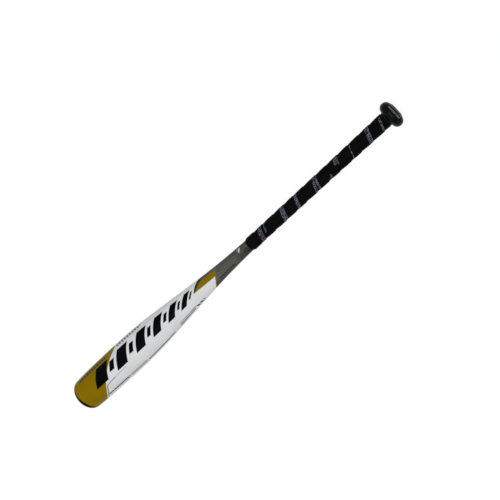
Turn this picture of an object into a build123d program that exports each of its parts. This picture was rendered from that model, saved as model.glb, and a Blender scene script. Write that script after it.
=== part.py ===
from build123d import *
from math import copysign, cos, pi, radians, sin, sqrt, tan
import os

# A one-piece aluminium youth baseball bat. It lies along the X axis: the end face of the knob is at
# X = 0 and the barrel end at X = bat_length. All sizes are in millimetres.

os.makedirs("parts", exist_ok=True)

# ---------------------------------------------------------------- driving dimensions
bat_length = 787.4  # 31 inches

# tube: barrel, taper and handle are one drawn shell
barrel_diameter = 66.7  # 2 5/8 inches
barrel_end_diameter = 63.8  # where the rounded end begins
barrel_wall = 2.0
handle_diameter = 21.2
handle_wall = 2.6
neck_diameter = 23.0  # handle inside and just above the knob
neck_length = 16.0  # straight stretch of the handle that the knob is welded on
flare_length = 125.0  # cone from the neck down to the handle

# places along the barrel, measured back from the barrel end
end_slope_at = 50.0  # corner where the barrel starts to narrow towards its end
taper_starts_at = 180.0  # corner between barrel and taper
taper_ends_at = 407.5  # corner between taper and handle

# large radii that round those corners, and the small one of the rounded barrel end
neck_bend_radius = 400.0
flare_bend_radius = 1500.0
handle_bend_radius = 1550.0
barrel_bend_radius = 1100.0
end_slope_bend_radius = 1150.0
end_round_radius = 14.0

# end cap: moulded plug with a rounded flange, glued into the barrel
cap_flange_thickness = 8.5
cap_seat_wall = 1.5  # shell left outside the seat, at its thinnest
cap_skirt_length = 17.0
cap_skirt_wall = 3.0
cap_face_thickness = 4.0
cap_dish_depth = 3.0
cap_dish_diameter = 34.0
cap_boss_diameter = 12.0
cap_bond_thickness = 0.3
cap_rib_height = 0.6
cap_rib_width = 2.4
cap_rib_at = 12.0  # middle of the rib, behind the flange
cap_rib_play = 0.15

# knob
knob_diameter = 46.8
knob_rim_radius = 9.7
knob_rim_at = 11.7  # middle of the rim, from the end face
knob_face_diameter = 20.0  # flat middle of the end face
knob_crown_angle = 20.0  # slope at which the crowned end meets the rim, degrees
knob_end_wall = 8.0  # metal between the end face and the tube
knob_bore_play = 0.1
weld_leg = 2.0
vent_diameter = 9.0
plug_head_diameter = 13.0
plug_head_thickness = 1.5
plug_bevel = 0.5
badge_diameter = 17.0
badge_thickness = 0.8
badge_recess_play = 0.15

# foam plug inside the handle
damper_length = 60.0
damper_end_gap = 0.5

# grip
grip_length = 304.0
grip_play_at_weld = 0.3
underlay_thickness = 0.3
tape_thickness = 1.5  # at the raised edge of each turn
tape_pitch = 24.127  # width of one turn along the bat
tape_bed_gap = 0.03  # under the tape, taken up by the adhesive
seam_gap = 0.5  # between one turn and the next, square to the seam
seam_step = 0.75  # how far the sunken edge lies below the raised one
seam_slope_width = 15.0  # width over which the surface falls to the sunken edge
seam_phase = 0.5  # where the first seam starts, as a share of one turn
finishing_tape_overlap = 13.0  # on the grip
finishing_tape_tail = 6.0  # on the bare handle
finishing_tape_thickness = 0.35

# certification label on the taper
label_diameter = 9.0
label_thickness = 0.12
label_bond = 0.03  # under the label, taken up by its adhesive
label_gap = 13.8  # bare handle between the finishing tape and the label
label_turn = 38.0  # degrees round the handle from the top

# ---------------------------------------------------------------- values worked out from them
barrel_radius = barrel_diameter / 2
barrel_end_radius = barrel_end_diameter / 2
handle_radius = handle_diameter / 2
neck_radius = neck_diameter / 2
knob_radius = knob_diameter / 2

tube_start = knob_end_wall
neck_end = tube_start + neck_length
flare_end = neck_end + flare_length
taper_end = bat_length - taper_ends_at
taper_start = bat_length - taper_starts_at
end_slope_start = bat_length - end_slope_at

cap_plane = bat_length - cap_flange_thickness
cap_seat_end = cap_plane - cap_skirt_length
end_round_inside = max(end_round_radius - cap_flange_thickness, 0)  # part of the rounding that the shell has
end_round_fall = end_round_radius - sqrt(end_round_radius**2 - end_round_inside**2)
cap_seat_radius = barrel_end_radius - end_round_fall - cap_seat_wall
cap_skirt_radius = cap_seat_radius - cap_bond_thickness
cap_rib_middle = cap_plane - cap_rib_at

knob_rim_height = knob_radius - knob_rim_radius  # of the rim circle's centre above the axis
knob_front = knob_rim_at + knob_rim_radius
knob_bore_radius = neck_radius + knob_bore_play

grip_start = knob_front + weld_leg + grip_play_at_weld
grip_end = grip_start + grip_length
tape_turns = grip_length / tape_pitch
finishing_tape_end = grip_end + finishing_tape_tail
label_at = finishing_tape_end + label_gap + label_diameter / 2

CORNER_RADII = [
    neck_bend_radius,
    flare_bend_radius,
    handle_bend_radius,
    barrel_bend_radius,
    end_slope_bend_radius,
]

SMALLEST_TURN = 1e-5  # a corner that turns less is left as it is, radians
LONGEST_REACH = 0.48  # of the shorter run beside a corner


def shell_points(neck, handle, barrel, end):
    """Corners of a line along the tube, at these heights above the axis."""
    return [
        (tube_start, neck),
        (neck_end, neck),
        (flare_end, handle),
        (taper_end, handle),
        (taper_start, barrel),
        (end_slope_start, barrel),
        (bat_length, end),
    ]


def outer_points(raised):
    """Corners of the tube's outer line, raised by a small amount, for what is wrapped round it."""
    end_fall = (barrel_radius - barrel_end_radius) / (end_slope_at - end_round_radius)
    end = barrel_radius - end_fall * end_slope_at
    return shell_points(neck_radius + raised, handle_radius + raised, barrel_radius + raised, end + raised)


def handle_surface(x):
    """Height above the axis of the bare tube's surface at x."""
    points = outer_points(0)
    slopes = [(r1 - r0) / (x1 - x0) for (x0, r0), (x1, r1) in zip(points, points[1:])]
    height = points[0][1]
    for (x0, _), (x1, _), slope in zip(points, points[1:], slopes):
        height += slope * (min(max(x, x0), x1) - x0)
    for (corner, _), before, after, radius in zip(points[1:], slopes, slopes[1:], CORNER_RADII):
        bend_half = radius * abs(after - before) / 2
        inside = max(bend_half - abs(x - corner), 0)
        height += copysign(inside**2 / (2 * radius), after - before)
    return height


def rounded_line(points, radii):
    """Draws straight lines whose corners are rounded by tangent arcs, in the BuildLine that is open."""
    at = Vector(points[0])
    for before, corner, after, radius in zip(points, points[1:], points[2:], radii):
        run_in = Vector(corner) - Vector(before)
        run_out = Vector(after) - Vector(corner)
        turn = radians(run_in.get_angle(run_out))
        if turn > SMALLEST_TURN:
            reach = min(radius * tan(turn / 2), LONGEST_REACH * min(run_in.length, run_out.length))
            arc_start = Vector(corner) - run_in.normalized() * reach
            arc_end = Vector(corner) + run_out.normalized() * reach
            Line(at, arc_start)
            TangentArc(arc_start, arc_end, tangent=run_in)
            at = arc_end
    Line(at, points[-1])


def revolved_form(points, radii):
    """Solid of revolution under a line with rounded corners. It is only used to cut and to trim."""
    with BuildPart() as form:
        with BuildSketch(Plane.XZ):
            with BuildLine():
                rounded_line(points, radii)
                Polyline(points[-1], (points[-1][0], 0), (points[0][0], 0), points[0])
            make_face()
        revolve(axis=Axis.X)
    return form.part


def slab(x_from, x_to):
    """Block across the bat between two planes square to its axis, for trimming."""
    width = 2 * barrel_diameter
    return Pos((x_from + x_to) / 2, 0, 0) * Box(x_to - x_from, width, width, mode=Mode.PRIVATE)


def tube_form(raised):
    """Outer form of the tube with an open, unrounded barrel end."""
    return revolved_form(outer_points(raised), CORNER_RADII)


# ---------------------------------------------------------------- the forms that pieces share
bare_points = outer_points(0)
bat_form = revolved_form(bare_points + [(bat_length, 0.3 * barrel_radius)], CORNER_RADII + [end_round_radius])
grip_bed_form = tube_form(underlay_thickness)
grip_skin_form = tube_form(underlay_thickness + tape_thickness)

bore_points = shell_points(
    neck_radius - handle_wall,
    handle_radius - handle_wall,
    barrel_radius - barrel_wall,
    barrel_end_radius - barrel_wall,
)
bore_form = revolved_form(bore_points, CORNER_RADII)

# ---------------------------------------------------------------- barrel_shell
with BuildPart() as barrel_shell:
    add(bat_form)
    split(bisect_by=Plane.YZ.offset(cap_plane), keep=Keep.BOTTOM)
    with BuildSketch(Plane.XZ):  # hollow, down to the cap's seat
        with BuildLine():
            rounded_line([*bore_points[:-1], (cap_seat_end, cap_seat_radius)], CORNER_RADII)
            Polyline((cap_seat_end, cap_seat_radius), (cap_seat_end, 0), (tube_start, 0), bore_points[0])
        make_face()
    revolve(axis=Axis.X, mode=Mode.SUBTRACT)
    with BuildSketch(Plane.YZ.offset(cap_seat_end)):  # seat for the cap's skirt
        Circle(cap_seat_radius)
    extrude(amount=cap_skirt_length, mode=Mode.SUBTRACT)
    with BuildSketch(Plane.YZ.offset(cap_rib_middle)):  # groove for the snap rib
        Circle(cap_skirt_radius + cap_rib_height + cap_rib_play)
    extrude(amount=cap_rib_width / 2 + cap_rib_play, both=True, mode=Mode.SUBTRACT)
barrel_shell.part.label = "barrel_shell"

# ---------------------------------------------------------------- end_cap
with BuildPart() as end_cap:
    add(bat_form)
    split(bisect_by=Plane.YZ.offset(cap_plane), keep=Keep.TOP)
    with BuildSketch(Plane.YZ.offset(cap_plane)):  # skirt that goes into the barrel
        Circle(cap_skirt_radius)
    extrude(amount=-cap_skirt_length)
    with BuildSketch(Plane.YZ.offset(cap_rib_middle)):  # snap rib
        Circle(cap_skirt_radius + cap_rib_height)
    extrude(amount=cap_rib_width / 2, both=True)
    with BuildSketch(Plane.YZ.offset(cap_plane - cap_skirt_length)):  # hollow of the skirt
        Circle(cap_skirt_radius - cap_skirt_wall)
    extrude(
        amount=cap_skirt_length + cap_flange_thickness - cap_face_thickness - cap_dish_depth,
        mode=Mode.SUBTRACT,
    )
    with BuildSketch(Plane.YZ.offset(bat_length - cap_dish_depth)):  # dish in the outer face
        Circle(cap_dish_diameter / 2)
        Circle(cap_boss_diameter / 2, mode=Mode.SUBTRACT)
    extrude(amount=cap_dish_depth, mode=Mode.SUBTRACT)
end_cap.part.label = "end_cap"

# ---------------------------------------------------------------- end_cap_bond
with BuildPart() as end_cap_bond:
    with BuildSketch(Plane.YZ.offset(cap_plane)):
        Circle(cap_seat_radius)
        Circle(cap_skirt_radius, mode=Mode.SUBTRACT)
    extrude(amount=-(cap_rib_at - cap_rib_width / 2 - cap_rib_play))
end_cap_bond.part.label = "end_cap_bond"

# ---------------------------------------------------------------- knob
crown = radians(knob_crown_angle)
crown_meets_rim = (
    knob_rim_at - knob_rim_radius * cos(crown),
    knob_rim_height + knob_rim_radius * sin(crown),
)
with BuildPart() as knob:
    with BuildSketch(Plane.XZ):
        with BuildLine():
            TangentArc(crown_meets_rim, (0, knob_face_diameter / 2), tangent=(-sin(crown), -cos(crown)))
            ThreePointArc(crown_meets_rim, (knob_rim_at, knob_radius), (knob_front, knob_rim_height))
            Polyline((knob_front, knob_rim_height), (knob_front, 0), (0, 0), (0, knob_face_diameter / 2))
        make_face()
    revolve(axis=Axis.X)
    with BuildSketch(Plane.YZ.offset(knob_end_wall)):  # bore for the tube
        Circle(knob_bore_radius)
    extrude(amount=knob_front - knob_end_wall, mode=Mode.SUBTRACT)
    with BuildSketch(Plane.YZ):  # recess for the badge
        Circle(badge_diameter / 2 + badge_recess_play)
    extrude(amount=badge_thickness, mode=Mode.SUBTRACT)
    with BuildSketch(Plane.YZ.offset(badge_thickness)):  # seat for the plug's head
        Circle(plug_head_diameter / 2)
    extrude(amount=plug_head_thickness, mode=Mode.SUBTRACT)
    with BuildSketch(Plane.YZ):  # vent hole
        Circle(vent_diameter / 2)
    extrude(amount=knob_end_wall, mode=Mode.SUBTRACT)
knob.part.label = "knob"

# ---------------------------------------------------------------- knob_weld
with BuildPart() as knob_weld:
    with BuildSketch(Plane.XZ):
        with BuildLine():
            weld_face = Line((knob_front, neck_radius), (knob_front, neck_radius + weld_leg))
            weld_bead = ThreePointArc(
                weld_face @ 1,
                (knob_front + 0.4 * weld_leg, neck_radius + 0.4 * weld_leg),
                (knob_front + weld_leg, neck_radius),
            )
            Line(weld_bead @ 1, weld_face @ 0)
        make_face()
    revolve(axis=Axis.X)
knob_weld.part.label = "knob_weld"

# ---------------------------------------------------------------- knob_plug
with BuildPart() as knob_plug:
    with BuildSketch(Plane.YZ.offset(badge_thickness)):
        Circle(plug_head_diameter / 2)
    extrude(amount=plug_head_thickness)
    with BuildSketch(Plane.YZ.offset(badge_thickness + plug_head_thickness)):
        Circle(vent_diameter / 2)
    extrude(amount=knob_end_wall - badge_thickness - plug_head_thickness)
    chamfer(knob_plug.edges().sort_by(Axis.X)[-1], length=plug_bevel)
knob_plug.part.label = "knob_plug"

# ---------------------------------------------------------------- knob_badge
with BuildPart() as knob_badge:
    with BuildSketch(Plane.YZ):
        Circle(badge_diameter / 2)
    extrude(amount=badge_thickness)
knob_badge.part.label = "knob_badge"

# ---------------------------------------------------------------- handle_damper
with BuildPart() as handle_damper:
    add(bore_form)
    add(slab(tube_start + damper_end_gap, tube_start + damper_end_gap + damper_length), mode=Mode.INTERSECT)
handle_damper.part.label = "handle_damper"

# ---------------------------------------------------------------- grip_underlay
with BuildPart() as grip_underlay:
    add(grip_bed_form)
    add(slab(grip_start, grip_end), mode=Mode.INTERSECT)
    add(bat_form, mode=Mode.SUBTRACT)
grip_underlay.part.label = "grip_underlay"


# ---------------------------------------------------------------- grip_tape
def seam_point(turn):
    """Point of the seam on the tape's outer surface, that many turns along it. The winding is left-handed."""
    x = grip_start + tape_pitch * (turn - seam_phase)
    height = handle_surface(x) + underlay_thickness + tape_thickness
    angle = -2 * pi * turn
    return Vector(x, height * cos(angle), height * sin(angle))


def seam_direction(turn):
    """Direction of the seam there."""
    step = 1e-4
    return (seam_point(turn + step) - seam_point(turn - step)).normalized()


def arc_joint(turn_0, turn_1):
    """Point where two tangent arcs meet that join two points of the seam."""
    p0, p1 = seam_point(turn_0), seam_point(turn_1)
    d0, d1 = seam_direction(turn_0), seam_direction(turn_1)
    chord = p1 - p0
    a = 2 * (d0.dot(d1) - 1)
    b = -2 * chord.dot(d0 + d1)
    reach = (-b - sqrt(b * b - 4 * a * chord.dot(chord))) / (2 * a)
    return (p0 + d0 * reach + p1 - d1 * reach) * 0.5


ARCS_PER_TURN = 4
seam_arcs = int((tape_turns + 2 * seam_phase) * ARCS_PER_TURN) + 1

with BuildLine() as seam:
    for arc in range(seam_arcs):
        start, finish = arc / ARCS_PER_TURN, (arc + 1) / ARCS_PER_TURN
        joint = arc_joint(start, finish)
        first = TangentArc(seam_point(start), joint, tangent=seam_direction(start))
        TangentArc(joint, seam_point(finish), tangent=first % 1)

seam_outward = Vector(0, seam_point(0).Y, seam_point(0).Z).normalized()
seam_plane = Plane(
    origin=seam_point(0),
    x_dir=seam_outward.cross(seam_direction(0)),
    z_dir=seam_direction(0),
)
CUT_MARGIN = 0.15

with BuildPart() as seam_cutter:  # thin groove with a wide, shallow wedge on its knob side
    with BuildSketch(seam_plane):
        with BuildLine():
            Polyline(
                (-seam_gap / 2, -tape_thickness - underlay_thickness),
                (seam_gap / 2, -tape_thickness - underlay_thickness),
                (seam_gap / 2, -seam_step),
                (seam_gap / 2 + seam_slope_width, CUT_MARGIN),
                (-seam_gap / 2, CUT_MARGIN),
                close=True,
            )
        make_face()
    sweep(path=seam.line, normal=(1, 0, 0))

with BuildPart() as grip_tape:
    add(grip_skin_form)
    add(slab(grip_start, grip_end), mode=Mode.INTERSECT)
    add(tube_form(underlay_thickness + tape_bed_gap), mode=Mode.SUBTRACT)
    add(seam_cutter.part, mode=Mode.SUBTRACT)
grip_tape.part.label = "grip_tape"


def seam_wall(turn, side, depth):
    """Point of one wall of the seam: side is 1 or -1, and depth is measured from the tape's surface."""
    point = seam_point(turn)
    outward = Vector(0, point.Y, point.Z).normalized()
    across = outward.cross(seam_direction(turn)).normalized()
    return point + across * (side * seam_gap / 2) - outward * depth


GAP_STEPS = 24  # measured places in each turn
GAP_REACH = 2  # how many steps along the far wall are tried from each place
depths = (seam_step, tape_thickness)
least_gap = min(
    (seam_wall(step / GAP_STEPS, 1, near) - seam_wall((step + shift) / GAP_STEPS, -1, far)).length
    for step in range(int(GAP_STEPS * tape_turns))
    for shift in range(-GAP_REACH, GAP_REACH + 1)
    for near in depths
    for far in depths
)
print(f"grip_tape: least gap between turns {least_gap:.3f} mm, {tape_turns:.1f} turns of {tape_pitch:.2f} mm")

# ---------------------------------------------------------------- grip_finishing_tape
wrapped = underlay_thickness + tape_thickness + finishing_tape_thickness
finishing_tape_start = grip_end - finishing_tape_overlap
with BuildPart() as grip_finishing_tape:
    with BuildSketch(Plane.XZ):
        with BuildLine():
            Polyline(
                (finishing_tape_start, 0),
                (finishing_tape_start, handle_surface(finishing_tape_start) + wrapped),
                (grip_end, handle_surface(grip_end) + wrapped),
                (finishing_tape_end, handle_surface(finishing_tape_end) + finishing_tape_thickness),
                (finishing_tape_end, 0),
                close=True,
            )
        make_face()
    revolve(axis=Axis.X)
    add(bat_form, mode=Mode.SUBTRACT)
    add(grip_skin_form & slab(grip_start, grip_end), mode=Mode.SUBTRACT)
grip_finishing_tape.part.label = "grip_finishing_tape"

# ---------------------------------------------------------------- handle_label
label_outward = (0, -sin(radians(label_turn)), cos(radians(label_turn)))
with BuildPart() as handle_label:
    add(tube_form(label_bond + label_thickness))
    add(slab(label_at - label_diameter, label_at + label_diameter), mode=Mode.INTERSECT)
    add(tube_form(label_bond), mode=Mode.SUBTRACT)
    with BuildSketch(Plane(origin=(label_at, 0, 0), x_dir=(1, 0, 0), z_dir=label_outward)):
        Circle(label_diameter / 2)
    extrude(amount=barrel_radius, mode=Mode.INTERSECT)
handle_label.part.label = "handle_label"

# ---------------------------------------------------------------- the bat's pieces
pieces = [
    barrel_shell,
    end_cap,
    end_cap_bond,
    knob,
    knob_weld,
    knob_plug,
    knob_badge,
    handle_damper,
    grip_underlay,
    grip_tape,
    grip_finishing_tape,
    handle_label,
]
for piece in pieces:
    export_step(piece.part, f"parts/{piece.part.label}.step")
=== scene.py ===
"""A one-piece aluminium baseball bat: painted shell, rounded end cap, turned knob and a wound grip.

The bat lies along X. The end face of the knob is at X = 0, and the barrel's end is at the largest X.
Angles round the bat are 0 at the top and grow towards +Y. Sizes are in metres unless a name says
otherwise.
"""

import logging
import math
from dataclasses import dataclass
from enum import Enum
from typing import Sequence, Union

import bmesh
import bpy
from mathutils import Matrix, Vector


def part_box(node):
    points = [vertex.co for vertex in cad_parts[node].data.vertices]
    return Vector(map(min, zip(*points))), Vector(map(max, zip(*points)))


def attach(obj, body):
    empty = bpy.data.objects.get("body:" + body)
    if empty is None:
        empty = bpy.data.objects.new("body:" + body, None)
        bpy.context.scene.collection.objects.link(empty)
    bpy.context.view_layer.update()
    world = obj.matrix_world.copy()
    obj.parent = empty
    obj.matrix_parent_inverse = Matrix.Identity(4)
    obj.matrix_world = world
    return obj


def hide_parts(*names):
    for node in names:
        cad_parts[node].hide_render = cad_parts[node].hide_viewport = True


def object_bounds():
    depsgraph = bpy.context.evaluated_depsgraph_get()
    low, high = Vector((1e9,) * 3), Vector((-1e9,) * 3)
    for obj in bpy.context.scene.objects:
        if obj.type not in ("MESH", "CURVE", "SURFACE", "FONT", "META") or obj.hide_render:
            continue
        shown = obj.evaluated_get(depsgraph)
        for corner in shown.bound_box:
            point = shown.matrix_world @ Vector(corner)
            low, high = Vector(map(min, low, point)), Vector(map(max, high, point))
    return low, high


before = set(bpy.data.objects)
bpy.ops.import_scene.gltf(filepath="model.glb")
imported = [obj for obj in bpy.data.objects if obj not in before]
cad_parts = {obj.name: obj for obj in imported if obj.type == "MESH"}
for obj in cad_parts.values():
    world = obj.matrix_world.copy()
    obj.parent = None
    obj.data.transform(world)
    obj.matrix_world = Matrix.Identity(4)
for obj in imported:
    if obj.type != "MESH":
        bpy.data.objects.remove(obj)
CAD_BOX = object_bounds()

logging.basicConfig(level=logging.INFO, format="%(message)s")
log = logging.getLogger("bat")

MM = 0.001
TAU = 2 * math.pi
BODY = "root"
ON_AXIS = 1e-7  # nearer the axis than this, a point of an outline is on it
WELD_DISTANCE = 1e-6  # points nearer to each other than this are one

Colour = tuple[float, float, float]
Point = tuple[float, float]
Number = Union[float, "Term"]


# ---------------------------------------------------------------------- arithmetic in node trees
@dataclass(frozen=True)
class Term:
    """A number in a node tree, so that a rule reads as plain arithmetic.

    Args:
        socket: The output that carries the number.
    """

    socket: bpy.types.NodeSocket

    @property
    def tree(self) -> bpy.types.NodeTree:
        """The node tree that the number is in."""
        return self.socket.id_data

    def worked(self, operation: str, *others: Number) -> "Term":
        """Puts the number through one Math node.

        Args:
            operation: The Math node's operation.
            others: The node's further inputs.

        Returns:
            The node's result.
        """
        node = self.tree.nodes.new("ShaderNodeMath")
        node.operation = operation
        for entry, value in zip(node.inputs, (self, *others)):
            feed(entry, value)
        return Term(node.outputs[0])

    def __add__(self, other: Number) -> "Term":
        """Sum."""
        return self.worked("ADD", other)

    __radd__ = __add__

    def __mul__(self, other: Number) -> "Term":
        """Product."""
        return self.worked("MULTIPLY", other)

    __rmul__ = __mul__

    def __sub__(self, other: Number) -> "Term":
        """Difference."""
        return self.worked("SUBTRACT", other)

    def __rsub__(self, other: float) -> "Term":
        """Difference from a plain number."""
        return self.worked("MULTIPLY_ADD", -1.0, other)

    def __truediv__(self, other: Number) -> "Term":
        """Quotient."""
        return self.worked("DIVIDE", other)

    def lesser(self, other: Number) -> "Term":
        """The smaller of two numbers."""
        return self.worked("MINIMUM", other)

    def greater(self, other: Number) -> "Term":
        """The larger of two numbers."""
        return self.worked("MAXIMUM", other)

    def size(self) -> "Term":
        """The number without its sign."""
        return self.worked("ABSOLUTE")

    def fraction(self) -> "Term":
        """What is left past the last whole number."""
        return self.worked("FRACT")

    def over(self, limit: float) -> "Term":
        """1 where the number is over a limit, and 0 elsewhere."""
        return self.worked("GREATER_THAN", limit)

    def times_plus(self, factor: Number, more: Number) -> "Term":
        """Product and sum in one step."""
        return self.worked("MULTIPLY_ADD", factor, more)

    def ramp(self, low: float, high: float, at_low: float = 0.0, at_high: float = 1.0) -> "Term":
        """Maps a range of the number to another range, and holds both ends.

        Args:
            low: Where the ramp starts.
            high: Where the ramp ends.
            at_low: Result at and before the start.
            at_high: Result at and after the end.

        Returns:
            The mapped number.
        """
        node = self.tree.nodes.new("ShaderNodeMapRange")
        for entry, value in zip(node.inputs, (self, low, high, at_low, at_high)):
            feed(entry, value)
        return Term(node.outputs[0])

    def along(self, points: Sequence[Point]) -> "Term":
        """Height at the number of a line of straight runs.

        Args:
            points: The line's corners, from left to right.

        Returns:
            The line's height.
        """
        total: Number = points[0][1]
        for (x0, y0), (x1, y1) in zip(points, points[1:]):
            total = self.ramp(x0, x1, 0.0, y1 - y0) + total
        return total


def feed(entry: bpy.types.NodeSocket, value: object) -> None:
    """Links a node's input to a socket or term, or sets it to a plain value.

    Args:
        entry: The input.
        value: A Term, a socket, a number or a colour of three numbers.
    """
    if isinstance(value, Term):
        value = value.socket
    if isinstance(value, bpy.types.NodeSocket):
        entry.id_data.links.new(value, entry)
    elif entry.type == "RGBA":
        entry.default_value = (*value, 1.0)
    else:
        entry.default_value = value


def least(terms: Sequence[Term]) -> Term:
    """The smallest of several terms."""
    result = terms[0]
    for term in terms[1:]:
        result = result.lesser(term)
    return result


def most(terms: Sequence[Term]) -> Term:
    """The largest of several terms."""
    result = terms[0]
    for term in terms[1:]:
        result = result.greater(term)
    return result


def vector(tree: bpy.types.NodeTree, x: Number, y: Number, z: Number) -> bpy.types.NodeSocket:
    """Three numbers as one vector in a node tree."""
    node = tree.nodes.new("ShaderNodeCombineXYZ")
    for entry, value in zip(node.inputs, (x, y, z)):
        feed(entry, value)
    return node.outputs[0]


def parts_of(socket: bpy.types.NodeSocket) -> tuple[Term, Term, Term]:
    """A vector's three numbers."""
    node = socket.id_data.nodes.new("ShaderNodeSeparateXYZ")
    feed(node.inputs[0], socket)
    return Term(node.outputs[0]), Term(node.outputs[1]), Term(node.outputs[2])


# ---------------------------------------------------------------------- meshes
class Shading(Enum):
    """How sharply two faces may meet and still shade as one surface."""

    SOFT = math.radians(60)
    MACHINED = math.radians(28)


def placed(name: str, mesh: bpy.types.Mesh, shading: Shading = Shading.MACHINED) -> bpy.types.Object:
    """Turns a mesh into a finished object at the origin, with its faces pointing outwards.

    Args:
        name: The piece's name.
        mesh: The mesh, in the bat's frame.
        shading: Where its shading breaks.

    Returns:
        The object.
    """
    work = bmesh.new()
    work.from_mesh(mesh)
    bmesh.ops.recalc_face_normals(work, faces=work.faces)
    work.to_mesh(mesh)
    work.free()
    mesh.shade_smooth()
    mesh.set_sharp_from_angle(angle=shading.value)
    mesh.name = name
    piece = bpy.data.objects.new(name, mesh)
    bpy.context.scene.collection.objects.link(piece)
    return piece


def skin(work: bmesh.types.BMesh, pairs: Sequence[tuple[list, list]]) -> None:
    """Adds the faces between rings of vertices, and leaves out the corners that fall together.

    Args:
        work: The mesh being built.
        pairs: Neighbouring rings, each with the same number of vertices.
    """
    for ring, after in pairs:
        for here, there in zip(range(-1, len(ring) - 1), range(len(ring))):
            corners = dict.fromkeys((ring[here], ring[there], after[there], after[here]))
            if len(corners) > 2:
                work.faces.new(tuple(corners))


def lathe(name: str, outline: Sequence[Point], steps: int = 192, looped: bool = True) -> bpy.types.Object:
    """Turns an outline about the bat's axis.

    Args:
        name: The piece's name.
        outline: Points (place along the bat, distance from its axis).
        steps: How many places round the bat.
        looped: True if the last point joins the first, and False if both ends lie on the axis.

    Returns:
        The turned piece.
    """
    work = bmesh.new()
    rings = []
    for x, r in outline:
        if r < ON_AXIS:
            rings.append([work.verts.new((x, 0.0, 0.0))] * steps)
        else:
            turns = (TAU * k / steps for k in range(steps))
            rings.append([work.verts.new((x, r * math.sin(a), r * math.cos(a))) for a in turns])
    pairs = list(zip(rings, rings[1:]))
    if looped:
        pairs.append((rings[-1], rings[0]))
    skin(work, pairs)
    mesh = bpy.data.meshes.new(name)
    work.to_mesh(mesh)
    work.free()
    return placed(name, mesh)


def arc(centre: Point, radius: float, start: float, finish: float, steps: int) -> list[Point]:
    """Points of an arc in an outline.

    Args:
        centre: The arc's centre.
        radius: Its radius.
        start: Angle of its first point in degrees, 0 towards +X and 90 away from the axis.
        finish: Angle of its last point in degrees.
        steps: Number of runs.

    Returns:
        The points.
    """
    turns = (math.radians(start + (finish - start) * k / steps) for k in range(steps + 1))
    return [(centre[0] + radius * math.cos(a), centre[1] + radius * math.sin(a)) for a in turns]


class WoundSurface:
    """A closed piece made by Geometry Nodes: a grid bent round the bat, with its edges joined."""

    name = "piece"
    columns = 8
    rows = 8
    shading = Shading.MACHINED

    def sizes(self) -> dict[str, float]:
        """The tree's named inputs and their values."""
        raise NotImplementedError

    def place(self, given: dict[str, Term], a: Term, b: Term) -> tuple[tuple, tuple]:
        """The rule that bends the grid.

        Args:
            given: The tree's inputs.
            a: 0 to 1 along the grid.
            b: 0 to 1 round its section, where both ends meet.

        Returns:
            The point (x, y, z), and three numbers kept for the finish.
        """
        raise NotImplementedError

    def make(self, material: bpy.types.Material) -> bpy.types.Object:
        """Builds the tree, evaluates it once and keeps the plain mesh.

        Args:
            material: The finish that the tree sets.

        Returns:
            The piece.
        """
        tree = bpy.data.node_groups.new(f"{self.name} surface", "GeometryNodeTree")
        tree.is_modifier = True
        tree.interface.new_socket("Mesh", in_out="OUTPUT", socket_type="NodeSocketGeometry")
        sockets = {
            label: tree.interface.new_socket(label, in_out="INPUT", socket_type="NodeSocketFloat")
            for label in self.sizes()
        }
        entry = tree.nodes.new("NodeGroupInput")
        given = {label: Term(out) for label, out in zip(self.sizes(), entry.outputs)}
        grid = tree.nodes.new("GeometryNodeMeshGrid")
        for slot, value in zip(grid.inputs, (1.0, 1.0, self.columns, self.rows)):
            slot.default_value = value
        across, up, _ = parts_of(tree.nodes.new("GeometryNodeInputPosition").outputs[0])
        point, kept = self.place(given, across + 0.5, up + 0.5)
        store = tree.nodes.new("GeometryNodeStoreNamedAttribute")
        store.data_type = "FLOAT_VECTOR"
        store.domain = "POINT"
        store.inputs["Name"].default_value = "lay"
        move = tree.nodes.new("GeometryNodeSetPosition")
        join = tree.nodes.new("GeometryNodeMergeByDistance")
        real = tree.nodes.new("GeometryNodeRealizeInstances")
        dress = tree.nodes.new("GeometryNodeSetMaterial")
        leave = tree.nodes.new("NodeGroupOutput")
        feed(store.inputs["Geometry"], grid.outputs["Mesh"])
        feed(store.inputs["Value"], vector(tree, *kept))
        feed(move.inputs["Geometry"], store.outputs[0])
        feed(move.inputs["Position"], vector(tree, *point))
        feed(join.inputs["Geometry"], move.outputs[0])
        join.inputs["Distance"].default_value = WELD_DISTANCE
        feed(real.inputs[0], join.outputs[0])
        feed(dress.inputs["Geometry"], real.outputs[0])
        dress.inputs["Material"].default_value = material
        feed(leave.inputs[0], dress.outputs[0])
        holder = bpy.data.objects.new(f"{self.name}_holder", bpy.data.meshes.new("holder"))
        bpy.context.scene.collection.objects.link(holder)
        modifier = holder.modifiers.new("surface", "NODES")
        modifier.node_group = tree
        for label, value in self.sizes().items():
            modifier[sockets[label].identifier] = value
        graph = bpy.context.evaluated_depsgraph_get()
        mesh = bpy.data.meshes.new_from_object(
            holder.evaluated_get(graph), preserve_all_data_layers=True, depsgraph=graph
        )
        bpy.data.objects.remove(holder)
        return placed(self.name, mesh, self.shading)


def mount_piece(piece: bpy.types.Object, slot: str, *nodes: str) -> None:
    """Lets a piece ride on the bat in place of CAD nodes, and reports it.

    Args:
        piece: The finished piece.
        slot: The record's material slot; not used.
        nodes: The CAD nodes that it stands for.
    """
    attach(piece, BODY)
    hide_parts(*nodes)
    log.info("%s: %d faces, for %s", piece.name, len(piece.data.polygons), ", ".join(nodes))


# ---------------------------------------------------------------------- the bat's shape
@dataclass(frozen=True)
class Bend:
    """A large radius that rounds a corner of the tube's line."""

    corner: float
    before: float
    after: float
    radius: float

    @property
    def reach(self) -> float:
        """How far the rounding reaches to each side of the corner."""
        return self.radius * abs(self.after - self.before) / 2

    def rise(self, x: float) -> float:
        """How far the rounding lifts the line at x."""
        inside = max(self.reach - abs(x - self.corner), 0.0)
        return math.copysign(inside**2 / (2 * self.radius), self.after - self.before)


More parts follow.
